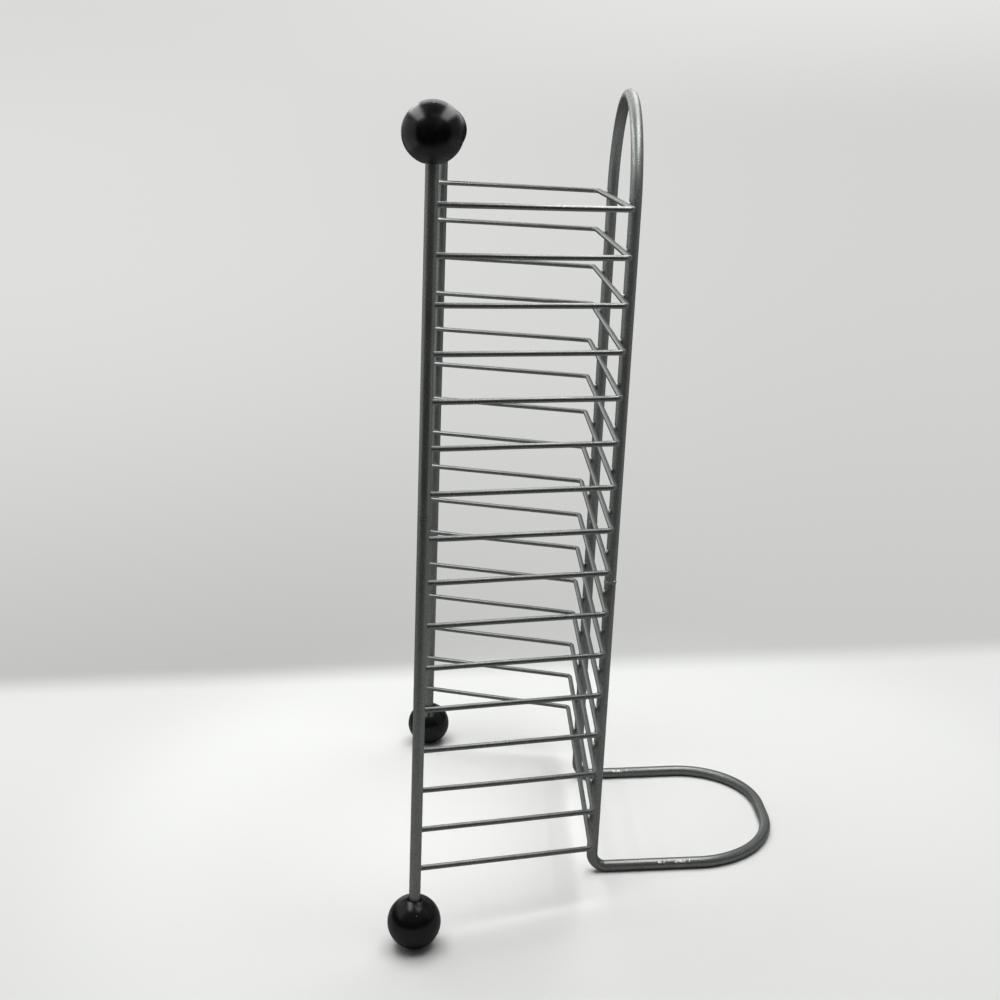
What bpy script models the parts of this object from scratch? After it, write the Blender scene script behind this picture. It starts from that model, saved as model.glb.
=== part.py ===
# DVD rack: a leaning tower of bent wire shelves on a bent rod frame, with four black balls.
# Metres, +Z up. The shelves open towards -Y, the floor loop runs back towards +Y.
# Origin: on the floor, at the middle of the footprint's bounding box.
import bmesh
import bpy
from math import asin, atan2, ceil, cos, hypot, pi, radians, sin, tan
from mathutils import Vector

MM = 0.001

# Whole rack
LEAN = radians(4.1)              # the posts and uprights lean back by this much
SEAT_GAP = 0.3 * MM              # clearance between two pieces that touch on the real rack

# Front posts and their balls
POST_SPACING = 204 * MM          # between the axes of the two front posts
POST_D = 5.2 * MM
BALL_D = 24.5 * MM
POST_INSERT = 10 * MM            # how far a post's end reaches into a ball
HOLE_CHAMFER = 0.5 * MM          # at the mouth of a ball's hole
FINIAL_RISE = 27.5 * MM          # from the top shelf's axis to the upper balls' centres

# Wire shelves
WIRE_D = 2.5 * MM
SHELF_COUNT = 16
SHELF_PITCH = 19.75 * MM
LOWEST_SHELF = 36.9 * MM         # height of the lowest wire's axis, along the posts
SHELF_DEPTH = 82.2 * MM          # from the posts' axes to the rear wires' axes
SHELF_BACK_WIDTH = 154 * MM      # between the corners of a shelf's rear wire
SHELF_CORNER_R = 2.5 * MM
LEG_OVERRUN = 0.6 * MM           # how far a leg's end reaches past its weld on the post

# Bent rod at the back: the arch above, the uprights and the floor loop below
ROD_D = 5.5 * MM
UPRIGHT_SPACING = 95.3 * MM
ARCH_RISE = 46.6 * MM            # from the top shelf's axis to the arch rod's axis
FLOOR_BEND_R = 7 * MM
LOOP_LENGTH = 95.5 * MM          # from the floor bend's corner to the loop's end
LOOP_END_R = 41.5 * MM

# Butt joints between arch and base, each with a band of weld around it
JOINT_SHELF = 6                  # the joints sit just above this shelf, counted up from the lowest as 0
JOINT_CLEAR = 2.6 * MM           # from that shelf's wire to the band
BAND_HEIGHT = 2.6 * MM
BAND_WALL = 0.45 * MM
BAND_EDGE = 0.1 * MM             # wall left at the band's upper and lower edges

# Mesh fineness
ROD_SIDES = 16
WIRE_SIDES = 10
ROD_ARC_STEP = radians(9)        # turn between two points of a bend
WIRE_ARC_STEP = radians(15)
BALL_ARC_STEP = radians(11)
BALL_STEPS = 30
BAND_ARC_STEP = radians(22.5)
BAND_STEPS = 24
SAME_POINT = 0.02 * MM           # points closer together than this are one point

POST_R = POST_D / 2
BALL_R = BALL_D / 2
WIRE_R = WIRE_D / 2
ROD_R = ROD_D / 2
TOP_SHELF = LOWEST_SHELF + (SHELF_COUNT - 1) * SHELF_PITCH
FOOT_HEIGHT = BALL_R / cos(LEAN)               # a foot's centre, along the leaning post
FINIAL_HEIGHT = TOP_SHELF + FINIAL_RISE
UPRIGHT_DEPTH = SHELF_DEPTH + WIRE_R + SEAT_GAP + ROD_R
JOINT_HEIGHT = LOWEST_SHELF + JOINT_SHELF * SHELF_PITCH + WIRE_R + JOINT_CLEAR + BAND_HEIGHT / 2
FLOOR_CORNER = (ROD_R + UPRIGHT_DEPTH * sin(LEAN)) / cos(LEAN)   # where upright and loop axes meet


def clear_scene():
    for obj in list(bpy.data.objects):
        bpy.data.objects.remove(obj, do_unlink=True)


def make_material(name, colour, metallic, roughness):
    material = bpy.data.materials.new(name)
    material.use_nodes = True
    shader = material.node_tree.nodes["Principled BSDF"]
    shader.inputs["Base Color"].default_value = (*colour, 1.0)
    shader.inputs["Metallic"].default_value = metallic
    shader.inputs["Roughness"].default_value = roughness
    material.diffuse_color = (*colour, 1.0)
    return material


def make_lean_frame(collection):
    """The empty that carries every piece: it tips them back and centres the footprint."""
    front = BALL_R * tan(LEAN) - BALL_R
    corner_y = UPRIGHT_DEPTH * cos(LEAN) + FLOOR_CORNER * sin(LEAN)
    back = corner_y + LOOP_LENGTH + ROD_R
    frame = bpy.data.objects.new("lean_frame", None)
    frame.empty_display_size = BALL_D
    frame.location = (0, -(front + back) / 2, 0)
    frame.rotation_euler = (-LEAN, 0, 0)
    collection.objects.link(frame)
    return frame


def rounded_path(corners, radii, arc_step):
    """Points along straight runs through the corners, with an arc of the given radius at each bend."""
    points = [corners[0]]
    for before, corner, after, radius in zip(corners, corners[1:], corners[2:], radii):
        arriving = (corner - before).normalized()
        leaving = (after - corner).normalized()
        turn = arriving.angle(leaving)
        setback = radius * tan(turn / 2)
        towards_centre = (leaving - arriving).normalized()
        centre = corner + towards_centre * radius / cos(turn / 2)
        outward = (corner - arriving * setback - centre).normalized()
        steps = ceil(turn / arc_step)
        for step in range(steps + 1):
            angle = turn * step / steps
            points.append(centre + radius * (outward * cos(angle) + arriving * sin(angle)))
    points.append(corners[-1])
    kept = [points[0]]
    for point in points[1:]:
        if (point - kept[-1]).length > SAME_POINT:
            kept.append(point)
    return kept


def make_rod(name, points, radius, sides, material):
    """A round bar along the points, with closed ends."""
    curve = bpy.data.curves.new(name, "CURVE")
    curve.dimensions = "3D"
    curve.bevel_depth = radius
    curve.bevel_resolution = sides // 2 - 2
    curve.use_fill_caps = True
    spline = curve.splines.new("POLY")
    spline.points.add(len(points) - 1)
    for spline_point, point in zip(spline.points, points):
        spline_point.co = (*point, 1.0)
    spline.use_smooth = True
    curve.materials.append(material)
    return bpy.data.objects.new(name, curve)


def make_profile_mesh(name, profile, closed, material):
    """A profile in the XZ plane at +X, which a Screw modifier turns about Z."""
    mesh = bpy.data.meshes.new(name)
    shape = bmesh.new()
    verts = [shape.verts.new((x, 0, z)) for x, z in profile]
    for first, second in zip(verts, verts[1:]):
        shape.edges.new((first, second))
    if closed:
        shape.edges.new((verts[-1], verts[0]))
    shape.to_mesh(mesh)
    shape.free()
    mesh.materials.append(material)
    return mesh


def make_turned(name, mesh, steps):
    turned = bpy.data.objects.new(name, mesh)
    screw = turned.modifiers.new("turn", "SCREW")
    screw.steps = steps
    screw.render_steps = steps
    screw.use_merge_vertices = True
    screw.merge_threshold = SAME_POINT
    screw.use_smooth_shade = True
    return turned


def ball_profile():
    """Half section of a ball with its hole at the top: hole floor, wall, chamfer, then the sphere."""
    hole_r = POST_R + SEAT_GAP
    mouth_r = hole_r + HOLE_CHAMFER
    mouth_angle = asin(mouth_r / BALL_R)
    mouth_z = BALL_R * cos(mouth_angle)
    hole_floor = BALL_R - POST_INSERT - SEAT_GAP
    profile = [(0, hole_floor), (hole_r, hole_floor), (hole_r, mouth_z - HOLE_CHAMFER)]
    arcs = ceil((pi - mouth_angle) / BALL_ARC_STEP)
    for arc in range(arcs):
        angle = mouth_angle + (pi - mouth_angle) * arc / arcs
        profile.append((BALL_R * sin(angle), BALL_R * cos(angle)))
    profile.append((0, -BALL_R))
    return profile


def make_balls(black):
    """A foot and a finial on each post, all from one turned shape."""
    mesh = make_profile_mesh("ball", ball_profile(), False, black)
    balls = []
    for side, x in (("left", -POST_SPACING / 2), ("right", POST_SPACING / 2)):
        foot = make_turned(f"foot_ball_{side}", mesh, BALL_STEPS)
        foot.location = (x, 0, FOOT_HEIGHT)
        finial = make_turned(f"finial_ball_{side}", mesh, BALL_STEPS)
        finial.location = (x, 0, FINIAL_HEIGHT)
        finial.rotation_euler = (pi, 0, 0)
        balls += [foot, finial]
    return balls


def make_posts(silver):
    bottom = FOOT_HEIGHT + BALL_R - POST_INSERT
    top = FINIAL_HEIGHT - BALL_R + POST_INSERT
    posts = []
    for side, x in (("left", -POST_SPACING / 2), ("right", POST_SPACING / 2)):
        points = [Vector((x, 0, bottom)), Vector((x, 0, top))]
        posts.append(make_rod(f"front_post_{side}", points, POST_R, ROD_SIDES, silver))
    return posts


def leg_end():
    """Front end of a shelf's right leg: the leg runs from the corner past the post's inner side."""
    corner_to_post = Vector((POST_SPACING / 2 - SHELF_BACK_WIDTH / 2, -SHELF_DEPTH))
    distance = corner_to_post.length
    clearance = POST_R + SEAT_GAP + WIRE_R
    heading = atan2(corner_to_post.y, corner_to_post.x) - asin(clearance / distance)
    length = hypot(distance, clearance) - clearance ** 2 / distance + LEG_OVERRUN
    x = SHELF_BACK_WIDTH / 2 + length * cos(heading)
    y = SHELF_DEPTH + length * sin(heading)
    return x, y


def make_shelves(silver):
    """U-shaped wires, numbered from the lowest up; each one's legs draw in towards the back."""
    end_x, end_y = leg_end()
    corner_x = SHELF_BACK_WIDTH / 2
    shelves = []
    for index in range(SHELF_COUNT):
        z = LOWEST_SHELF + index * SHELF_PITCH
        corners = [
            Vector((-end_x, end_y, z)),
            Vector((-corner_x, SHELF_DEPTH, z)),
            Vector((corner_x, SHELF_DEPTH, z)),
            Vector((end_x, end_y, z)),
        ]
        points = rounded_path(corners, [SHELF_CORNER_R, SHELF_CORNER_R], WIRE_ARC_STEP)
        shelves.append(make_rod(f"wire_shelf_{index + 1:02d}", points, WIRE_R, WIRE_SIDES, silver))
    return shelves


def make_back_arch(silver):
    """The upper half of the back frame: two uprights joined by a half circle."""
    x = UPRIGHT_SPACING / 2
    bottom = JOINT_HEIGHT + SEAT_GAP / 2
    top = TOP_SHELF + ARCH_RISE
    corners = [
        Vector((-x, UPRIGHT_DEPTH, bottom)),
        Vector((-x, UPRIGHT_DEPTH, top)),
        Vector((x, UPRIGHT_DEPTH, top)),
        Vector((x, UPRIGHT_DEPTH, bottom)),
    ]
    points = rounded_path(corners, [x, x], ROD_ARC_STEP)
    return make_rod("back_arch", points, ROD_R, ROD_SIDES, silver)


def make_base_frame(silver):
    """The lower half: two uprights that bend at the floor into one loop lying flat behind the rack."""
    x = UPRIGHT_SPACING / 2
    top = JOINT_HEIGHT - SEAT_GAP / 2
    along_floor = Vector((0, cos(LEAN), sin(LEAN)))
    left_bend = Vector((-x, UPRIGHT_DEPTH, FLOOR_CORNER))
    right_bend = Vector((x, UPRIGHT_DEPTH, FLOOR_CORNER))
    corners = [
        Vector((-x, UPRIGHT_DEPTH, top)),
        left_bend,
        left_bend + along_floor * LOOP_LENGTH,
        right_bend + along_floor * LOOP_LENGTH,
        right_bend,
        Vector((x, UPRIGHT_DEPTH, top)),
    ]
    radii = [FLOOR_BEND_R, LOOP_END_R, LOOP_END_R, FLOOR_BEND_R]
    points = rounded_path(corners, radii, ROD_ARC_STEP)
    return make_rod("base_frame", points, ROD_R, ROD_SIDES, silver)


def band_profile():
    """Section of a weld band: straight bore, rounded outside, run from top to bottom."""
    bore_r = ROD_R + SEAT_GAP
    edge_r = bore_r + BAND_EDGE
    bulge = BAND_WALL - BAND_EDGE
    profile = [(bore_r, BAND_HEIGHT / 2)]
    arcs = ceil(pi / BAND_ARC_STEP)
    for arc in range(arcs + 1):
        angle = pi * arc / arcs
        profile.append((edge_r + bulge * sin(angle), BAND_HEIGHT / 2 * cos(angle)))
    profile.append((bore_r, -BAND_HEIGHT / 2))
    return profile


def make_joint_bands(silver):
    mesh = make_profile_mesh("joint_band", band_profile(), True, silver)
    bands = []
    for side, x in (("left", -UPRIGHT_SPACING / 2), ("right", UPRIGHT_SPACING / 2)):
        band = make_turned(f"joint_band_{side}", mesh, BAND_STEPS)
        band.location = (x, UPRIGHT_DEPTH, JOINT_HEIGHT)
        bands.append(band)
    return bands


def main():
    clear_scene()
    collection = bpy.data.collections.new("dvd_rack")
    bpy.context.scene.collection.children.link(collection)
    rod_silver = make_material("silver_painted_rod", (0.30, 0.31, 0.31), 0.75, 0.38)
    wire_silver = make_material("silver_painted_wire", (0.36, 0.37, 0.37), 0.75, 0.32)
    ball_black = make_material("gloss_black_lacquer", (0.006, 0.006, 0.007), 0.0, 0.12)
    frame = make_lean_frame(collection)
    pieces = make_posts(rod_silver)
    pieces += make_balls(ball_black)
    pieces += make_shelves(wire_silver)
    pieces += [make_back_arch(rod_silver), make_base_frame(rod_silver)]
    pieces += make_joint_bands(rod_silver)
    for piece in pieces:
        piece.parent = frame
        collection.objects.link(piece)
    bpy.context.view_layer.update()


main()
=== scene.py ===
# Disc rack of silver-grey painted steel rod and wire, with gloss black balls.
from math import asin, atan2, ceil, cos, hypot, pi, radians, sin, tan

import bmesh
import bpy
from mathutils import Matrix, Vector


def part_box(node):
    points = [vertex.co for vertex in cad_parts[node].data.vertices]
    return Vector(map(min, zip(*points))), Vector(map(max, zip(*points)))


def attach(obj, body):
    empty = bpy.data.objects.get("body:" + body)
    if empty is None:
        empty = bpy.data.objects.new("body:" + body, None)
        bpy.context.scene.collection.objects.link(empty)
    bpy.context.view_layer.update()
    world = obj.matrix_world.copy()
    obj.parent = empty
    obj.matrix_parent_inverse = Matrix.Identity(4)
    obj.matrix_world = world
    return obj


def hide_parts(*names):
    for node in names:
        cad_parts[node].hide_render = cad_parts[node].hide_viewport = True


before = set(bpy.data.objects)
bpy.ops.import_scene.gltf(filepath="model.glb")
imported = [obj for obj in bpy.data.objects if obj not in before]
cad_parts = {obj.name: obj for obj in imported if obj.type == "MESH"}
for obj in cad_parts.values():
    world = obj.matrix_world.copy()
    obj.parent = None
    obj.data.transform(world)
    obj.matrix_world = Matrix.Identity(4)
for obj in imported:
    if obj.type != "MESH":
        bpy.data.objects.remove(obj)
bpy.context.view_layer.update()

mm = 0.001


# Small helpers for working as by hand

def selectNothing():
    if bpy.context.object and bpy.context.object.mode != "OBJECT":
        bpy.ops.object.mode_set(mode="OBJECT")
    bpy.ops.object.select_all(action="DESELECT")


def takeHold(piece):
    selectNothing()
    piece.select_set(True)
    bpy.context.view_layer.objects.active = piece


def editPiece(piece):
    takeHold(piece)
    bpy.ops.object.mode_set(mode="EDIT")
    bpy.ops.mesh.select_mode(type="FACE")
    bpy.ops.mesh.select_all(action="SELECT")


def selectFaces(piece, wanted):             # in edit mode, every face that passes the test
    bpy.ops.mesh.select_all(action="DESELECT")
    shape = bmesh.from_edit_mesh(piece.data)
    for face in shape.faces:
        face.select_set(wanted(face))
    shape.select_flush_mode()
    bmesh.update_edit_mesh(piece.data)


def pushOut(step):                          # in edit mode, extrudes what is selected
    bpy.ops.mesh.extrude_region_move(TRANSFORM_OT_translate={"value": step, "orient_type": "GLOBAL"})


def leaveEdit():                            # with all faces pointing outwards
    bpy.ops.mesh.select_all(action="SELECT")
    bpy.ops.mesh.normals_make_consistent(inside=False)
    bpy.ops.object.mode_set(mode="OBJECT")


def applyPlace(piece):                      # the object ends at the origin, with its place in its mesh
    takeHold(piece)
    bpy.ops.object.transform_apply(location=True, rotation=True, scale=True)


def copyOf(piece, name):
    takeHold(piece)
    bpy.ops.object.duplicate(linked=False)
    bpy.context.object.name = name
    bpy.context.object.data.name = name
    return bpy.context.object


def joinTo(piece, others):
    takeHold(piece)
    for other in others:
        other.select_set(True)
    bpy.ops.object.join()


def addDisplace(piece, grain, amount, direction, group=""):
    # wobble of a given grain size, read in world space so that no two copies are alike
    pattern = bpy.data.textures.new(piece.name + "Wobble", "CLOUDS")
    pattern.noise_scale = grain
    wobble = piece.modifiers.new("wobble", "DISPLACE")
    wobble.texture = pattern
    wobble.texture_coords = "GLOBAL"
    wobble.direction = direction
    wobble.strength = amount
    wobble.mid_level = 0.5
    wobble.vertex_group = group
    takeHold(piece)
    bpy.ops.object.modifier_apply(modifier=wobble.name)


def smoothAll(piece, angle=50):             # edges sharper than the angle, in degrees, stay crisp
    takeHold(piece)
    bpy.ops.object.shade_smooth_by_angle(angle=radians(angle))


# The rack's own frame: it stands square on its posts, and leans back as a whole

rack = {
    "lean": 4.1,             # degrees
    "postDiameter": 5.2,     # mm, as are all the lengths below
    "rodDiameter": 5.5,
    "wireDiameter": 2.5,
    "ballDiameter": 24.5,
    "weldGap": 0.3,          # between two pieces that a weld joins
    "rim": 0.2,              # rounding of the sawn ends of rods and wires
    "rimSteps": 3,
    "shortestRun": 0.05,     # a straight run below this is left out between two bends
}

lean = radians(rack["lean"])
postRadius = rack["postDiameter"] / 2 * mm
rodRadius = rack["rodDiameter"] / 2 * mm
wireRadius = rack["wireDiameter"] / 2 * mm
ballRadius = rack["ballDiameter"] / 2 * mm


def middleOf(node):
    low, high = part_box(node)
    return (low + high) / 2


def ballCentre(node):                        # a foot ball is whole below its centre, a finial above it
    low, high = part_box(node)
    middle = middleOf(node)
    middle.z = low.z + ballRadius if node.startswith("foot") else high.z - ballRadius
    return middle


footMiddle = ballCentre("foot_ball_right")
standsAt = Vector((0, footMiddle.y - footMiddle.z * tan(lean), 0))
leanFrame = Matrix.Translation(standsAt) @ Matrix.Rotation(-lean, 4, "X")
inRack = leanFrame.inverted()
postX = footMiddle.x
jointSpot = inRack @ middleOf("joint_band_right")
uprightX = jointSpot.x
uprightDepth = jointSpot.y
shelfNodes = sorted(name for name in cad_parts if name.startswith("wire_shelf_"))


def shelfSpot(node):                         # depth and height of a shelf's rear wire
    low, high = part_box(node)
    return inRack @ Vector((0, high.y - wireRadius, low.z + wireRadius))


def settle(piece, nodes, material):    # leans a finished piece back and hands it to the frame
    piece.matrix_world = leanFrame @ piece.matrix_world
    applyPlace(piece)
    piece.data.materials.clear()
    piece.data.materials.append(material)
    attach(piece, "root")
    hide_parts(*nodes)


# Bars: a disc pulled along each straight run and spun round each bend. A bar's dictionary says how many
# sides it has, how far apart its rings are, and how many degrees a bend turns at each step.

def pullBar(name, fineness, radius, corners, bends):
    heading = (corners[1] - corners[0]).normalized()
    sides = fineness["sides"]
    selectNothing()
    bpy.ops.mesh.primitive_circle_add(vertices=sides, radius=radius, fill_type="NGON", location=corners[0],
                                      rotation=heading.to_track_quat("Z", "Y").to_euler())
    bar = bpy.context.object
    bar.name = name
    applyPlace(bar)
    editPiece(bar)
    place = corners[0].copy()
    for number in range(1, len(corners)):
        corner = corners[number]
        arriving = (corner - place).normalized()
        setback = 0
        if number < len(corners) - 1:
            leaving = (corners[number + 1] - corner).normalized()
            turn = arriving.angle(leaving)
            setback = bends[number - 1] * tan(turn / 2)
        length = (corner - place).length - setback
        if length > rack["shortestRun"] * mm:
            rings = max(1, round(length / (fineness["ringGap"] * mm)))
            for ring in range(rings):
                pushOut(arriving * length / rings)
        if setback:
            axis = arriving.cross(leaving).normalized()
            bendStart = corner - arriving * setback
            middle = bendStart + axis.cross(arriving) * bends[number - 1]
            steps = ceil(turn / radians(fineness["bendStep"]))
            bpy.ops.mesh.spin(steps=steps, angle=-turn, center=middle, axis=axis)
            place = corner + leaving * setback
    selectFaces(bar, lambda face: len(face.verts) == sides)
    bpy.ops.mesh.bevel(offset=rack["rim"] * mm, segments=rack["rimSteps"], affect="EDGES")
    leaveEdit()
    return bar


# Surface helpers

smoothly = {"interpolation_type": "SMOOTHSTEP"}


def linearColour(hexCode):
    channels = [int(hexCode[place:place + 2], 16) / 255 for place in (1, 3, 5)]
    return [c / 12.92 if c <= 0.04045 else ((c + 0.055) / 1.055) ** 2.4 for c in channels] + [1.0]


def addNode(tree, kind, settings, sockets):     # a socket takes a number, a hex colour, an output or a node
    made = tree.nodes.new(kind)
    for name, value in settings.items():
        setattr(made, name, value)
    for name, value in sockets.items():
        if isinstance(value, bpy.types.Node):
            value = next(output for output in value.outputs if output.enabled)
        if isinstance(value, bpy.types.NodeSocket):
            tree.links.new(value, made.inputs[name])
        else:
            made.inputs[name].default_value = linearColour(value) if isinstance(value, str) else value
    return made


def newSurface(name):
    material = bpy.data.materials.new(name)
    material.use_nodes = True
    material.node_tree.nodes.clear()
    spot = addNode(material.node_tree, "ShaderNodeTexCoord", {}, {}).outputs["Object"]
    return material, material.node_tree, spot


def fade(tree, value, limits, first, second, share=1.0):     # from one colour to another between two limits
    start, end = limits
    mixed = addNode(tree, "ShaderNodeMapRange", smoothly, {
        "Value": value, "From Min": start, "From Max": end, "To Max": share})
    return addNode(tree, "ShaderNodeMix", {"data_type": "RGBA"}, {0: mixed, 6: first, 7: second})


def within(tree, value, start, end, edge):          # 1 between two places, fading over an edge
    opens = addNode(tree, "ShaderNodeMapRange", smoothly, {
        "Value": value, "From Min": start - edge, "From Max": start + edge})
    closes = addNode(tree, "ShaderNodeMapRange", smoothly, {
        "Value": value, "From Min": end - edge, "From Max": end + edge, "To Min": 1.0, "To Max": 0.0})
    return addNode(tree, "ShaderNodeMath", {"operation": "MULTIPLY"}, {0: opens, 1: closes})


# Silver-grey metallic paint, sprayed on steel and stoved: a satin grey with a fine aluminium sparkle,
# slightly uneven in gloss, chipped down to a pale primer where the rod has been knocked

paint = {
    "post": "#abafab",       # one paint, given a paler or darker tone piece by piece to paint in how the light falls on each
    "arch": "#b0b4b1",
    "base": "#a4a8a5",
    "wire": "#9da19e",
    "weld": "#b6bab7",
    "lightFlake": "#dcdfde",
    "lightShare": 0.5,       # how strongly the pale flakes show
    "lightFrom": (0.54, 0.72),       # where in the flakes' noise they begin and are at their palest
    "darkFlake": "#5f6261",
    "darkShare": 0.45,
    "darkFrom": (0.46, 0.28),
    "flakeSize": 0.6,        # mm; real flakes are about 0.03, too fine to show, so these are coarser
    "cloudSize": 18,         # mm, patches of more and less gloss
    "cloudFrom": (0.3, 0.7),
    "gloss": (0.33, 0.44),           # roughness of the shiniest and dullest patches
    "wireGloss": (0.27, 0.37),
    "archGloss": (0.43, 0.53),       # rubbed dull by hands, as the rack is lifted by its arch
    "weldGloss": (0.42, 0.55),
    "peelSize": 1.6,         # mm, between the ripples that the spray leaves
    "peelDepth": 0.03,       # mm
    "peelStrength": 0.25,
    "coat": 0.4,
    "archCoat": 0.1,
    "weldCoat": 0.1,
    "coatRoughness": 0.2,
    "metallic": 0.92,        # the flakes lie in a clear binder
    "primerAndPaintedGlint": "#f4f4f1",     # pale and matt, where the paint is chipped off, and as a painted glint on the weld drops
    # dark: chips' and the nick's broken edges, the posts' rings, and painted shade beside the welds and on
    # the arch's top
    "chipEdgeAndPaintedShade": "#34332f",
}


def makePaint(name, piece, marks=None):
    material, tree, spot = newSurface(name)
    flakes = addNode(tree, "ShaderNodeTexNoise", {}, {
        "Vector": spot, "Scale": 1 / (paint["flakeSize"] * mm), "Detail": 1.0, "Roughness": 0.7})
    clouds = addNode(tree, "ShaderNodeTexNoise", {}, {
        "Vector": spot, "Scale": 1 / (paint["cloudSize"] * mm), "Detail": 3.0})
    height = addNode(tree, "ShaderNodeTexNoise", {}, {
        "Vector": spot, "Scale": 1 / (paint["peelSize"] * mm), "Detail": 1.0})
    colour = fade(tree, flakes, paint["darkFrom"], paint[piece], paint["darkFlake"], paint["darkShare"])
    colour = fade(tree, flakes, paint["lightFrom"], colour, paint["lightFlake"], paint["lightShare"])
    start, end = paint["cloudFrom"]
    shiniest, dullest = paint.get(piece + "Gloss", paint["gloss"])
    gloss = addNode(tree, "ShaderNodeMapRange", smoothly, {
        "Value": clouds, "From Min": start, "From Max": end, "To Min": shiniest, "To Max": dullest})
    metallic = paint["metallic"]
    if marks:
        # the marks: wear, together with painted shade and painted glints, mixed in as dark and pale
        bare, rim = marks(tree, spot)
        for share, shown in ((rim, paint["chipEdgeAndPaintedShade"]), (bare, paint["primerAndPaintedGlint"])):
            colour = addNode(tree, "ShaderNodeMix", {"data_type": "RGBA"}, {0: share, 6: colour, 7: shown})
        height = addNode(tree, "ShaderNodeMath", {"operation": "SUBTRACT"}, {0: height, 1: rim})
        metallic = addNode(tree, "ShaderNodeMath", {"operation": "MULTIPLY_ADD"}, {
            0: bare, 1: -paint["metallic"], 2: paint["metallic"]})
    bump = addNode(tree, "ShaderNodeBump", {}, {
        "Strength": paint["peelStrength"], "Distance": paint["peelDepth"] * mm, "Height": height})
    shader = addNode(tree, "ShaderNodeBsdfPrincipled", {}, {
        "Base Color": colour, "Metallic": metallic, "Roughness": gloss, "Normal": bump,
        "Coat Weight": paint.get(piece + "Coat", paint["coat"]), "Coat Roughness": paint["coatRoughness"]})
    addNode(tree, "ShaderNodeOutputMaterial", {}, {"Surface": shader})
    return material


# Marks in the paint: chips along the floor loop's legs, a nick high on the arch, whose top is darkened with
# painted shade, a faint ring ground round each post, painted shade on the uprights beside the shelves'
# welds, and a painted glint on the drops on those welds

knocks = {
    "near": ((33.0, 37.0), (41.5, 47.3), (48.5, 49.8)),     # mm behind the rack's middle, on the right leg
    "far": ((20.0, 26.2), (28.1, 29.4)),                    # and on the left one
    "patchEdge": 0.4,        # mm, over which such a patch runs out
    "height": (4.2, 5.35),   # mm above the floor, where the chips lie on the rod
    "heightEdge": 0.2,
    "chip": 1.1,             # mm, size of one chip
    "bareFrom": (0.44, 0.48),        # where in the chips' noise the paint is gone
    "rimFrom": (0.36, 0.42),         # and where its broken edge shows
    "rimDark": 0.9,
    "nick": (46.2, 0.2, 352.0),      # mm across, behind the uprights' middle and up the rack
    "nickSize": 0.3,
    "nickBare": (1.0, 1.3),          # in nick sizes, where its bare middle ends
    "nickRim": (2.0, 2.4),           # and its dark edge
    "nickDark": 0.8,
    "rings": (205.4, 206.6),         # mm up the posts
    "ringWidth": 0.3,
    "ringEdge": 0.12,
    "ringDark": 0.45,
    "weldShadeFrom": (1.8, 3.6),            # mm from a shelf's weld on the uprights, where painted shade darkens the paint
    "weldShadeDark": 0.52,
    "weldShadeReach": 5,                # mm past the lowest and the top weld
    "dropGlint": 0.9,                 # how pale the drop on a weld is painted, as a painted glint
    "archTopShade": (0.354, 0.371),       # metres above the floor, from where the arch's top is darkened with painted shade
    "archTopShadeDark": 0.42,
}


# painted shade on the uprights beside each shelf's weld, where the wire shades the rod
def paintedShadeAtWelds(tree, spot):      # worked out in the rack's own frame, where the welds stand in a row
    lowest = shelfSpot(shelfNodes[0]).z
    top = shelfSpot(shelfNodes[-1]).z
    pitch = (top - lowest) / (len(shelfNodes) - 1)
    own = addNode(tree, "ShaderNodeMapping", {}, {
        "Vector": spot, "Rotation": inRack.to_euler(), "Location": inRack.translation})
    parts = addNode(tree, "ShaderNodeSeparateXYZ", {}, {0: own}).outputs
    side = addNode(tree, "ShaderNodeMath", {"operation": "ABSOLUTE"}, {0: parts["X"]})
    up = addNode(tree, "ShaderNodeMath", {"operation": "SUBTRACT"}, {0: parts["Z"], 1: lowest})
    nearest = addNode(tree, "ShaderNodeMath", {"operation": "WRAP"}, {0: up, 1: pitch / 2, 2: -pitch / 2})
    place = addNode(tree, "ShaderNodeCombineXYZ", {}, {"X": side, "Y": parts["Y"], "Z": nearest})
    away = addNode(tree, "ShaderNodeVectorMath", {"operation": "DISTANCE"}, {
        0: place, 1: (uprightX, uprightDepth - rodRadius, 0)})
    start, end = knocks["weldShadeFrom"]
    spots = addNode(tree, "ShaderNodeMapRange", smoothly, {
        "Value": away, "From Min": start * mm, "From Max": end * mm,
        "To Min": knocks["weldShadeDark"], "To Max": 0.0})
    reach = knocks["weldShadeReach"] * mm
    alongWelds = within(tree, parts["Z"], lowest - reach, top + reach, mm)
    return addNode(tree, "ShaderNodeMath", {"operation": "MULTIPLY"}, {0: spots, 1: alongWelds})


# painted glint: each weld drop is mixed toward the pale primer, standing in for a highlight
def paintedGlintOnDrops(tree, spot):
    drop = addNode(tree, "ShaderNodeAttribute", {"attribute_name": "drop"}, {}).outputs["Fac"]
    return addNode(tree, "ShaderNodeMath", {"operation": "MULTIPLY"}, {0: drop, 1: knocks["dropGlint"]}), 0.0


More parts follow.
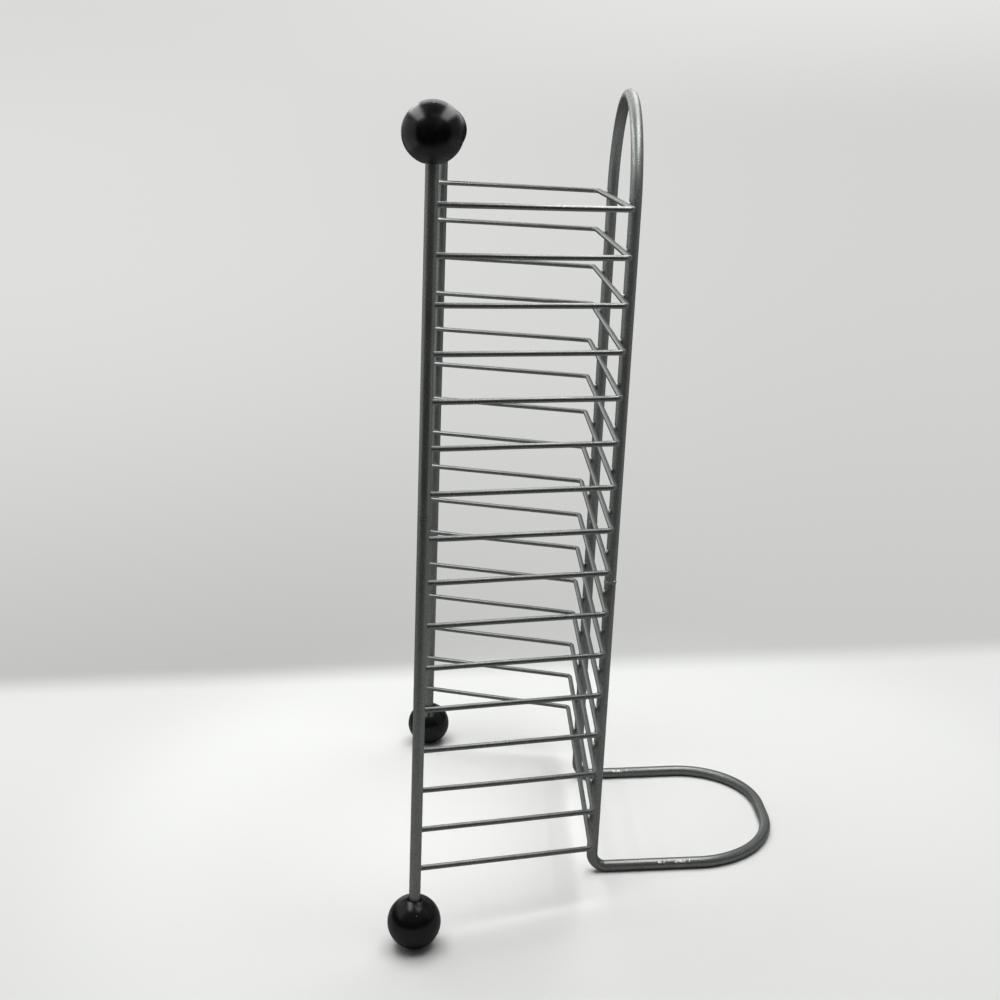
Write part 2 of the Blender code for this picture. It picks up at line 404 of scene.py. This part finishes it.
def floorLoopChips(tree, spot):
    parts = addNode(tree, "ShaderNodeSeparateXYZ", {}, {0: spot}).outputs
    patch = 0.0
    for sign, ranges in ((1, knocks["near"]), (-1, knocks["far"])):
        leg = addNode(tree, "ShaderNodeMapRange", smoothly, {"Value": parts["X"], "From Max": sign * mm})
        for start, end in ranges:
            strip = within(tree, parts["Y"], start * mm, end * mm, knocks["patchEdge"] * mm)
            here = addNode(tree, "ShaderNodeMath", {"operation": "MULTIPLY"}, {0: strip, 1: leg})
            patch = addNode(tree, "ShaderNodeMath", {"operation": "MAXIMUM"}, {0: patch, 1: here})
    low, high = knocks["height"]
    level = within(tree, parts["Z"], low * mm, high * mm, knocks["heightEdge"] * mm)
    grain = addNode(tree, "ShaderNodeTexNoise", {}, {
        "Vector": spot, "Scale": 1 / (knocks["chip"] * mm), "Detail": 3.0, "Roughness": 0.65})
    for factor in (level, grain):
        patch = addNode(tree, "ShaderNodeMath", {"operation": "MULTIPLY"}, {0: patch, 1: factor})
    start, end = knocks["bareFrom"]
    bare = addNode(tree, "ShaderNodeMapRange", smoothly, {
        "Value": patch, "From Min": start, "From Max": end})
    start, end = knocks["rimFrom"]
    rim = addNode(tree, "ShaderNodeMapRange", smoothly, {
        "Value": patch, "From Min": start, "From Max": end, "To Max": knocks["rimDark"]})
    # the uprights' painted shade beside the welds joins the chips' dark edges
    shadeBesideWelds = paintedShadeAtWelds(tree, spot)
    return bare, addNode(tree, "ShaderNodeMath", {"operation": "MAXIMUM"}, {0: rim, 1: shadeBesideWelds})


def archNick(tree, spot):
    across, behind, up = knocks["nick"]
    place = leanFrame @ Vector((across * mm, uprightDepth + behind * mm, up * mm))
    away = addNode(tree, "ShaderNodeVectorMath", {"operation": "DISTANCE"}, {0: spot, 1: place})
    size = knocks["nickSize"] * mm
    bare, rim = (addNode(tree, "ShaderNodeMapRange", smoothly, {
        "Value": away, "From Min": size * start, "From Max": size * end, "To Min": share, "To Max": 0.0})
        for (start, end), share in ((knocks["nickBare"], 1.0), (knocks["nickRim"], knocks["nickDark"])))
    # the arch's top darkened: painted shade that dims its highlight, joined by the painted shade beside the
    # welds
    start, end = knocks["archTopShade"]
    height = addNode(tree, "ShaderNodeSeparateXYZ", {}, {0: spot}).outputs["Z"]
    archTopShade = addNode(tree, "ShaderNodeMapRange", smoothly, {
        "Value": height, "From Min": start, "From Max": end, "To Max": knocks["archTopShadeDark"]})
    for dark in (paintedShadeAtWelds(tree, spot), archTopShade):
        rim = addNode(tree, "ShaderNodeMath", {"operation": "MAXIMUM"}, {0: rim, 1: dark})
    return bare, rim


def postRings(tree, spot):
    upRack = leanFrame.to_3x3() @ Vector((0, 0, 1))
    along = addNode(tree, "ShaderNodeVectorMath", {"operation": "DOT_PRODUCT"}, {0: spot, 1: upRack})
    zero = leanFrame.translation.dot(upRack)
    half = knocks["ringWidth"] / 2
    first, second = (within(tree, along, zero + (up - half) * mm, zero + (up + half) * mm,
                            knocks["ringEdge"] * mm) for up in knocks["rings"])
    both = addNode(tree, "ShaderNodeMath", {"operation": "ADD"}, {0: first, 1: second})
    return 0.0, addNode(tree, "ShaderNodeMath", {"operation": "MULTIPLY"}, {0: both, 1: knocks["ringDark"]})


postPaint = makePaint("stovedSilverPaintOnPosts", "post", postRings)
archPaint = makePaint("stovedSilverPaintOnArch", "arch", archNick)
basePaint = makePaint("stovedSilverPaintChipped", "base", floorLoopChips)
bandPaint = makePaint("stovedSilverPaintOnWeld", "weld")
wirePaint = makePaint("stovedSilverPaintOnWire", "wire", paintedGlintOnDrops)


# Black lacquer, dipped and polished: a deep gloss that shows the room, with finger haze and dust

lacquer = {
    "black": "#030304",
    "haze": "#141518",
    "hazeShare": 0.35,       # how strongly the haze shows
    "hazeFrom": (0.45, 0.75),
    "hazeSize": 7,           # mm
    "gloss": (0.24, 0.4),    # roughness of clean and hazy places
    "shine": 0.72,
    "dust": "#dcdcd8",
    "dustShare": 0.6,
    "dustGap": 5.6,          # mm between specks
    "dustSize": 0.6,         # mm
    "dustFrom": (0.5, 0.3),  # in speck sizes, its soft edge
    "rippleSize": 3.5,       # mm, between the slight waves that dipping leaves
    "rippleDepth": 0.03,     # mm
    "rippleStrength": 0.15,
}


def makeLacquer():
    material, tree, spot = newSurface("dippedBlackLacquer")
    smears = addNode(tree, "ShaderNodeTexNoise", {}, {
        "Vector": spot, "Scale": 1 / (lacquer["hazeSize"] * mm), "Detail": 4.0, "Roughness": 0.6})
    start, end = lacquer["hazeFrom"]
    haze = addNode(tree, "ShaderNodeMapRange", smoothly, {
        "Value": smears, "From Min": start, "From Max": end})
    clean, hazy = lacquer["gloss"]
    gloss = addNode(tree, "ShaderNodeMapRange", smoothly, {"Value": haze, "To Min": clean, "To Max": hazy})
    specks = addNode(tree, "ShaderNodeTexVoronoi", {}, {
        "Vector": spot, "Scale": 1 / (lacquer["dustGap"] * mm)})
    speckEdge = [share * lacquer["dustSize"] / lacquer["dustGap"] for share in lacquer["dustFrom"]]
    colour = fade(tree, smears, lacquer["hazeFrom"],
                  lacquer["black"], lacquer["haze"], lacquer["hazeShare"])
    colour = fade(tree, specks, speckEdge, colour, lacquer["dust"], lacquer["dustShare"])
    ripples = addNode(tree, "ShaderNodeTexNoise", {}, {
        "Vector": spot, "Scale": 1 / (lacquer["rippleSize"] * mm), "Detail": 1.0})
    bump = addNode(tree, "ShaderNodeBump", {}, {
        "Strength": lacquer["rippleStrength"], "Distance": lacquer["rippleDepth"] * mm, "Height": ripples})
    shader = addNode(tree, "ShaderNodeBsdfPrincipled", {}, {
        "Base Color": colour, "Roughness": gloss, "Normal": bump, "Specular IOR Level": lacquer["shine"]})
    addNode(tree, "ShaderNodeOutputMaterial", {}, {"Surface": shader})
    return material


lacquerBlack = makeLacquer()
print("surfaces made")


# Front posts

post = {
    "sides": 40,
    "ringGap": 6,            # mm
    "insert": 10,            # mm of each end inside its ball
}


def buildPosts():
    for side, sign in (("left", -1), ("right", 1)):
        foot = inRack @ ballCentre("foot_ball_" + side)
        finial = inRack @ ballCentre("finial_ball_" + side)
        reach = ballRadius - post["insert"] * mm
        corners = [Vector((sign * postX, 0, foot.z + reach)), Vector((sign * postX, 0, finial.z - reach))]
        bar = pullBar("frontPost" + side.capitalize(), post, postRadius, corners, [])
        smoothAll(bar)
        settle(bar, ["front_post_" + side], postPaint)


buildPosts()
print("posts made")


# Balls: a sphere cut flat at its hole, the cut pushed in as a chamfer and then as the hole's wall

ball = {
    "segments": 96,
    "rings": 64,
    "chamfer": 0.5,          # mm
    "crispAbove": 30,        # degrees, edges that stay sharp at the hole
}


def buildBalls():
    holeRadius = postRadius + rack["weldGap"] * mm
    mouthRadius = holeRadius + ball["chamfer"] * mm
    mouthHeight = ballRadius * cos(asin(mouthRadius / ballRadius))
    depth = mouthHeight - ballRadius + (post["insert"] + rack["weldGap"]) * mm
    selectNothing()
    bpy.ops.mesh.primitive_uv_sphere_add(segments=ball["segments"], ring_count=ball["rings"],
                                         radius=ballRadius)
    model = bpy.context.object
    editPiece(model)
    bpy.ops.mesh.bisect(plane_co=(0, 0, mouthHeight), plane_no=(0, 0, 1), use_fill=True, clear_outer=True)
    selectFaces(model, lambda face: len(face.verts) > 8)        # the cut, the one face with many corners
    pushOut((0, 0, -ball["chamfer"] * mm))
    narrowing = holeRadius / mouthRadius
    bpy.ops.transform.resize(value=(narrowing, narrowing, 1), center_override=(0, 0, mouthHeight))
    pushOut((0, 0, ball["chamfer"] * mm - depth))
    leaveEdit()
    for part, turn in (("foot", 0), ("finial", pi)):
        for side in ("left", "right"):
            node = part + "_ball_" + side
            piece = copyOf(model, part + "Ball" + side.capitalize())
            spot = inRack @ ballCentre(node)
            piece.matrix_world = Matrix.Translation(spot) @ Matrix.Rotation(turn, 4, "X")
            smoothAll(piece, ball["crispAbove"])
            settle(piece, [node], lacquerBlack)
    bpy.data.objects.remove(model)


buildBalls()
print("balls made")


# Wire shelves: one bent wire with its welds, copied to each height

shelf = {
    "sides": 20,
    "ringGap": 9,            # mm
    "bendStep": 11,          # degrees
    "backWidth": 154,        # mm, between the corners of the rear wire
    "cornerRadius": 2.5,
    "overrun": 0.6,          # of a leg past its weld
    "waver": 0.5,            # mm, how far hand-fed wire strays from straight
    "waverLength": 70,       # mm, over which it does so
}
weld = {
    "width": 1.3,            # mm along the wire, half of it
    "reach": 1.45,           # across the wire, half of it
    "thick": 0.75,
    "segments": 22,
    "rings": 14,
    "drop": 0.75,            # a drop squeezed out beside the weld on an upright
    "dropOnLeft": (0.5, 0.2, 1.1),
    "dropOnRight": (0.9, 0.1, 0.65),
    "dropSegments": 16,
    "dropRings": 10,
    "lumps": 0.4,            # mm, and the size of one
    "lumpSize": 1.1,
}


def legEnd(depth):                           # the leg runs from the corner past the post's inner side
    back = shelf["backWidth"] / 2 * mm
    acrossX, acrossY = postX - back, -depth
    distance = hypot(acrossX, acrossY)
    clearance = postRadius + rack["weldGap"] * mm + wireRadius
    heading = atan2(acrossY, acrossX) - asin(clearance / distance)
    length = hypot(distance, clearance) - clearance ** 2 / distance + shelf["overrun"] * mm
    return Vector((back + length * cos(heading), depth + length * sin(heading), 0)), heading


def makeWeld(spot, turn, dropPlace=None):    # a squeezed-out bead between two crossing bars
    bpy.ops.mesh.primitive_uv_sphere_add(segments=weld["segments"], ring_count=weld["rings"], radius=mm)
    bead = bpy.context.object
    bead.scale = (weld["width"], weld["thick"], weld["reach"])
    bead.matrix_world = Matrix.Translation(spot) @ Matrix.Rotation(turn, 4, "Z") @ bead.matrix_world
    applyPlace(bead)
    if dropPlace:
        bpy.ops.mesh.primitive_uv_sphere_add(segments=weld["dropSegments"], ring_count=weld["dropRings"],
                                             radius=weld["drop"] * mm,
                                             location=spot + Vector(dropPlace) * mm)
        drop = bpy.context.object
        applyPlace(drop)
        mark = drop.data.attributes.new("drop", "FLOAT", "POINT")    # marks the drop, which the paint shows pale as a painted glint
        mark.data.foreach_set("value", [1.0] * len(drop.data.vertices))
        joinTo(bead, [drop])
    group = bead.vertex_groups.new(name="weld")
    group.add(list(range(len(bead.data.vertices))), 1.0, "REPLACE")
    return bead


def buildShelves():
    depth = shelfSpot(shelfNodes[0]).y
    end, heading = legEnd(depth)
    cornerX = shelf["backWidth"] / 2 * mm
    corners = [Vector((-end.x, end.y, 0)), Vector((-cornerX, depth, 0)), Vector((cornerX, depth, 0)), end]
    model = pullBar("shelfModel", shelf, wireRadius, corners, [shelf["cornerRadius"] * mm] * 2)
    beads = []
    seam = wireRadius + rack["weldGap"] / 2 * mm
    for sign in (-1, 1):
        dropPlace = weld["dropOnRight" if sign > 0 else "dropOnLeft"]
        beads.append(makeWeld(Vector((sign * uprightX, depth + seam, 0)), 0, dropPlace))
        inward = Vector((-sin(heading), cos(heading), 0))          # from the leg towards the post
        foot = Vector((postX, 0, 0)) - inward * (postRadius + rack["weldGap"] / 2 * mm)
        beads.append(makeWeld(Vector((sign * foot.x, foot.y, 0)), sign * heading))
    joinTo(model, beads)
    for node in shelfNodes:
        piece = copyOf(model, "wireShelf" + node[-2:])
        piece.location.z = shelfSpot(node).z
        addDisplace(piece, shelf["waverLength"] * mm, shelf["waver"] * mm, "Z")
        addDisplace(piece, weld["lumpSize"] * mm, weld["lumps"] * mm, "NORMAL", "weld")
        smoothAll(piece)
        settle(piece, [node], wirePaint)
    bpy.data.objects.remove(model)


buildShelves()
print("shelves made")


# Back arch and base frame, two bent rods that meet at a weld band on each upright

backFrame = {
    "sides": 44,
    "ringGap": 6,            # mm
    "bendStep": 3,           # degrees
    "archRise": 46.6,        # mm, from the top shelf to the arch
    "floorBend": 7,
    "loopEnd": 41.5,         # radius of the loop's corners
}
band = {
    "height": 1.6,           # mm, the weld at the joint, ground nearly flush
    "bulge": 0.14,
    "segments": 60,
    "sectionSides": 16,
    "bead": 1.15,            # radius of a drop of weld left standing just above it
    "beadRise": 0.8,
    "beadFacing": (0.77, 0.64),      # outwards and to the back
    "beadSink": 0.1,         # into the rod
    "beadFlat": 0.6,         # its height as a share of its width
    "beadSegments": 24,
    "beadRings": 16,
    "lumps": 0.4,            # mm, and the size of one
    "lumpSize": 1.0,
}


def buildArch():
    top = shelfSpot(shelfNodes[-1]).z + backFrame["archRise"] * mm
    bottom = jointSpot.z + rack["weldGap"] / 2 * mm
    corners = [Vector((-uprightX, uprightDepth, bottom)), Vector((-uprightX, uprightDepth, top)),
               Vector((uprightX, uprightDepth, top)), Vector((uprightX, uprightDepth, bottom))]
    arch = pullBar("backArch", backFrame, rodRadius, corners, [uprightX, uprightX])
    smoothAll(arch)
    settle(arch, ["back_arch"], archPaint)


def buildBase():
    top = jointSpot.z - rack["weldGap"] / 2 * mm
    cornerZ = (rodRadius + uprightDepth * sin(lean)) / cos(lean)
    alongFloor = Vector((0, cos(lean), sin(lean)))
    leftBend = Vector((-uprightX, uprightDepth, cornerZ))
    rightBend = Vector((uprightX, uprightDepth, cornerZ))
    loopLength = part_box("base_frame")[1].y - rodRadius - (leanFrame @ rightBend).y
    corners = [Vector((-uprightX, uprightDepth, top)), leftBend, leftBend + alongFloor * loopLength,
               rightBend + alongFloor * loopLength, rightBend, Vector((uprightX, uprightDepth, top))]
    bends = [backFrame[bend] * mm for bend in ("floorBend", "loopEnd", "loopEnd", "floorBend")]
    base = pullBar("baseFrame", backFrame, rodRadius, corners, bends)
    smoothAll(base)
    settle(base, ["base_frame"], basePaint)


def buildBands():
    for side, sign in (("left", -1), ("right", 1)):
        spot = Vector((sign * uprightX, uprightDepth, jointSpot.z))
        selectNothing()
        bpy.ops.mesh.primitive_torus_add(major_segments=band["segments"],
                                         minor_segments=band["sectionSides"], major_radius=rodRadius,
                                         minor_radius=band["bulge"] * mm, location=spot)
        piece = bpy.context.object
        piece.scale.z = band["height"] / 2 / band["bulge"]
        applyPlace(piece)
        piece.name = "jointBand" + side.capitalize()
        outwards, backwards = band["beadFacing"]
        beadPlace = Vector((sign * outwards, backwards, 0)) * (rodRadius - band["beadSink"] * mm)
        beadPlace.z = band["beadRise"] * mm
        bpy.ops.mesh.primitive_uv_sphere_add(segments=band["beadSegments"], ring_count=band["beadRings"],
                                             radius=band["bead"] * mm, location=spot + beadPlace)
        bead = bpy.context.object
        bead.scale.z = band["beadFlat"]
        applyPlace(bead)
        joinTo(piece, [bead])
        addDisplace(piece, band["lumpSize"] * mm, band["lumps"] * mm, "NORMAL")
        smoothAll(piece)
        settle(piece, ["joint_band_" + side], bandPaint)


buildArch()
buildBase()
buildBands()
print("back frame made")


# Floor and backdrop: a pale sheet, with painted shade past the fold where a backdrop would rise behind the
# rack, and a far part that glows to the camera with painted backdrop tones. The rods and balls show painted
# reflections of it, darker than the sheet, and dark past its edge in front of the rack, as of a dark room.
# Its ranges are in metres, unless a note says otherwise: along X, which points to the camera, along Y, to
# the camera's right, or away from the rack.

stage = {
    "frontLeft": "#e2e3e1",          # the floor, in front of the rack and behind it; its tones painted lighter and darker from place to place for how the light falls off
    "frontRight": "#dfe0dd",
    "backLeft": "#eeefed",
    "backRight": "#e9eae7",
    "frontToBack": (0.16, -0.16),
    "leftToRight": (-0.25, 0.2),
    "middle": "#f8f8f6",             # and paler where the rack stands: a painted pool of light that lifts the rack's shadow
    "lightPoolAt": (0.012, -0.03, 0),
    "lightPoolReach": (0.155, 0.0),
    "sweepLeft": "#bdbebc",          # past the fold, where the floor turns to the backdrop: painted shade of the backdrop rising there
    "sweepRight": "#c8c9c7",
    "foldAt": (-0.187, -0.232),
    "farLeft": "#dfe0de",            # far off, glowing to the camera as painted backdrop tones
    "farRight": "#d4d5d2",
    "farLeftToRight": (-0.35, 0.35),         # sideways, as a share of the distance
    "farFrom": (0.22, 0.34),
    "farPales": (0.85, 0.12),        # the eye's distance from the rack, as a share of that from the floor
    "inGloss": "#7a7b7a",            # painted reflection: what polished pieces show of the sheet, darker than it is
    "behindInGloss": "#6a6b6a",      # of its far part
    "behindAt": (0.0, -0.3),
    "pastEdge": "#303030",           # and of the room past it, painted dark
    "edgeAt": (0.26, 0.52),
    "eye": 0.6,                      # in front of the rack, where the tones fan out from
    "size": 24,
    "drop": 0.02,                    # mm below the rack
    "roughness": 0.9,                # matt paper
    "shine": 0.1,
}


def farTone(tree, across):
    return fade(tree, across, stage["farLeftToRight"], stage["farLeft"], stage["farRight"])


def makeStage():
    selectNothing()
    bpy.ops.mesh.primitive_plane_add(size=stage["size"], location=(0, 0, -stage["drop"] * mm))
    floor = bpy.context.object
    floor.name = "paleFloor"
    applyPlace(floor)
    material, tree, spot = newSurface("palePaperFloor")
    parts = addNode(tree, "ShaderNodeSeparateXYZ", {}, {0: spot}).outputs
    rays = addNode(tree, "ShaderNodeLightPath", {}, {}).outputs
    # the floor's tones, painted lighter at the back and darker in front for how the light falls
    front, behind, sweep = (
        fade(tree, parts["Y"], stage["leftToRight"], stage[area + "Left"], stage[area + "Right"])
        for area in ("front", "back", "sweep"))
    around = fade(tree, parts["X"], stage["frontToBack"], front, behind)
    fromLightPool = addNode(tree, "ShaderNodeVectorMath", {"operation": "DISTANCE"}, {
        0: spot, 1: stage["lightPoolAt"]})
    # a painted pool of light where the rack stands, lifting its shadow
    near = fade(tree, fromLightPool, stage["lightPoolReach"], around, stage["middle"])
    paper = fade(tree, parts["X"], stage["foldAt"], near, sweep)
    # polished pieces see painted reflections: the sheet in darker tones, and dark past its edge
    inGloss = fade(tree, parts["X"], stage["behindAt"], stage["inGloss"], stage["behindInGloss"])
    inGloss = fade(tree, parts["X"], stage["edgeAt"], inGloss, stage["pastEdge"])
    shown = addNode(tree, "ShaderNodeMix", {"data_type": "RGBA"}, {
        0: rays["Is Glossy Ray"], 6: paper, 7: inGloss})
    sheet = addNode(tree, "ShaderNodeBsdfPrincipled", {}, {
        "Base Color": shown, "Roughness": stage["roughness"], "Specular IOR Level": stage["shine"]})
    # the far part glows to the camera at an even painted tone, that pales with distance and to the left
    fromEye = addNode(tree, "ShaderNodeVectorMath", {"operation": "SUBTRACT"}, {
        0: spot, 1: (stage["eye"], 0, 0)})
    away = addNode(tree, "ShaderNodeVectorMath", {"operation": "LENGTH"}, {0: fromEye})
    closeness = addNode(tree, "ShaderNodeMath", {"operation": "DIVIDE"}, {0: stage["eye"], 1: away})
    across = addNode(tree, "ShaderNodeMath", {"operation": "DIVIDE"}, {0: parts["Y"], 1: away})
    farColour = fade(tree, closeness, stage["farPales"], paper, farTone(tree, across))
    glow = addNode(tree, "ShaderNodeEmission", {}, {"Color": farColour})
    distance = addNode(tree, "ShaderNodeVectorMath", {"operation": "LENGTH"}, {0: spot})
    start, end = stage["farFrom"]
    past = addNode(tree, "ShaderNodeMapRange", smoothly, {
        "Value": distance, "From Min": start, "From Max": end})
    farAway = addNode(tree, "ShaderNodeMath", {"operation": "MULTIPLY"}, {
        0: past, 1: rays["Is Camera Ray"]})
    shade = addNode(tree, "ShaderNodeMixShader", {}, {0: farAway, 1: sheet, 2: glow})
    addNode(tree, "ShaderNodeOutputMaterial", {}, {"Surface": shade})
    floor.data.materials.append(material)


# Light: as in a small tent of white cloth, open at the camera's side, with two lamp strips close above
# the rack that run from back to front, pale walls, a small panel of roof over the far left corner, and
# a soft top light that only matt things show

lamps = {                    # watts, length and width, place of the middle, place it looks at, in metres
    "leftStrip": (0.44, (0.46, 0.11), (-0.02, -0.195, 0.52), (-0.02, -0.195, 0.0)),
    "rightStrip": (0.47, (0.46, 0.13), (-0.02, 0.105, 0.52), (-0.02, 0.105, 0.0)),
    "backWall": (0.42, (0.4, 0.45), (-0.27, -0.02, 0.61), (0.1, -0.02, 0.53)),
    "leftWall": (0.18, (0.5, 0.4), (0.0, -0.36, 0.34), (0.0, 0.0, 0.34)),
    "rightWall": (0.075, (0.5, 0.45), (0.0, 0.34, 0.3), (0.0, 0.0, 0.3)),
    "farRoof": (0.07, (0.18, 0.17), (-0.12, -0.045, 0.56), (-0.12, -0.045, 0.0)),
    "softTop": (16.6, (1.4, 1.4), (-0.1, 0.0, 1.3), (-0.1, 0.0, 0.0)),
}

# What the gloss shows of the room past the lamps, and what the camera sees above the far edge of the floor.
# A patch is a colour and the fades that bound it, along the direction in which one looks.

room = {
    "eyeLevel": "#2a2b2c",
    "patches": (
        ("#a2a3a2", ("X", -0.35, -0.95), ("Z", 0.02, 0.24)),        # just above eye level behind the rack
        ("#e4e5e4", ("X", -0.82, -0.93), ("Y", 0.0, -0.15)),        # and to the left of that
    ),
    "above": "#5c5d5e",
    "aboveFrom": (0.15, 0.75),
    "seenHighLeft": "#dadbd8",       # as the camera sees it
    "seenHighRight": "#e7e6e4",
    "seenLeftToRight": (-0.3, 0.3),
    "seenHighFrom": (-0.02, 0.1),
}


def addLamp(name, watts, size, place, target):
    lamp = bpy.data.lights.new(name, "AREA")
    lamp.energy = watts
    lamp.shape = "RECTANGLE"
    lamp.size, lamp.size_y = size
    stand = bpy.data.objects.new(name, lamp)
    facing = (Vector(target) - Vector(place)).normalized()
    across = Vector((0, facing.z, -facing.y)).normalized()       # the length runs from back to front
    along = across.cross(-facing)
    stand.matrix_world = Matrix.Translation(place) @ Matrix((along, across, -facing)).transposed().to_4x4()
    stand.visible_camera = False
    stand.visible_glossy = name != "softTop"
    bpy.context.scene.collection.objects.link(stand)


def makeRoom():
    world = bpy.data.worlds.new("softRoom")
    world.use_nodes = True
    tree = world.node_tree
    tree.nodes.clear()
    direction = addNode(tree, "ShaderNodeTexCoord", {}, {}).outputs["Generated"]
    parts = addNode(tree, "ShaderNodeSeparateXYZ", {}, {0: direction}).outputs
    rays = addNode(tree, "ShaderNodeLightPath", {}, {}).outputs
    level = room["eyeLevel"]
    for colour, *fades in room["patches"]:
        share = 1.0
        for axis, start, end in fades:
            opens = addNode(tree, "ShaderNodeMapRange", smoothly, {
                "Value": parts[axis], "From Min": start, "From Max": end})
            share = addNode(tree, "ShaderNodeMath", {"operation": "MULTIPLY"}, {0: share, 1: opens})
        level = addNode(tree, "ShaderNodeMix", {"data_type": "RGBA"}, {0: share, 6: level, 7: colour})
    glow = fade(tree, parts["Z"], room["aboveFrom"], level, room["above"])
    high = fade(tree, parts["Y"], room["seenLeftToRight"], room["seenHighLeft"], room["seenHighRight"])
    seen = fade(tree, parts["Z"], room["seenHighFrom"], farTone(tree, parts["Y"]), high)
    shown = addNode(tree, "ShaderNodeMix", {"data_type": "RGBA"}, {
        0: rays["Is Camera Ray"], 6: glow, 7: seen})
    back = addNode(tree, "ShaderNodeBackground", {}, {"Color": shown})
    addNode(tree, "ShaderNodeOutputWorld", {}, {"Surface": back})
    bpy.context.scene.world = world


# Camera at the photograph's angle

camera = {
    "place": (0.61635, -0.04584, 0.36246),
    "turn": (73.6716, 1.8595, 88.8173),      # degrees
    "lens": 46.41,                           # mm
    "sensor": 36,                            # mm, its width
}


def makeCamera():
    eye = bpy.data.cameras.new("photoCamera")
    eye.lens = camera["lens"]
    eye.sensor_width = camera["sensor"]
    stand = bpy.data.objects.new("photoCamera", eye)
    stand.location = camera["place"]
    stand.rotation_euler = [radians(angle) for angle in camera["turn"]]
    bpy.context.scene.collection.objects.link(stand)
    bpy.context.scene.camera = stand


makeStage()
for name, settings in lamps.items():
    addLamp(name, *settings)
makeRoom()
makeCamera()
bpy.context.scene.view_settings.view_transform = "Standard"
print("stage, light and camera made")
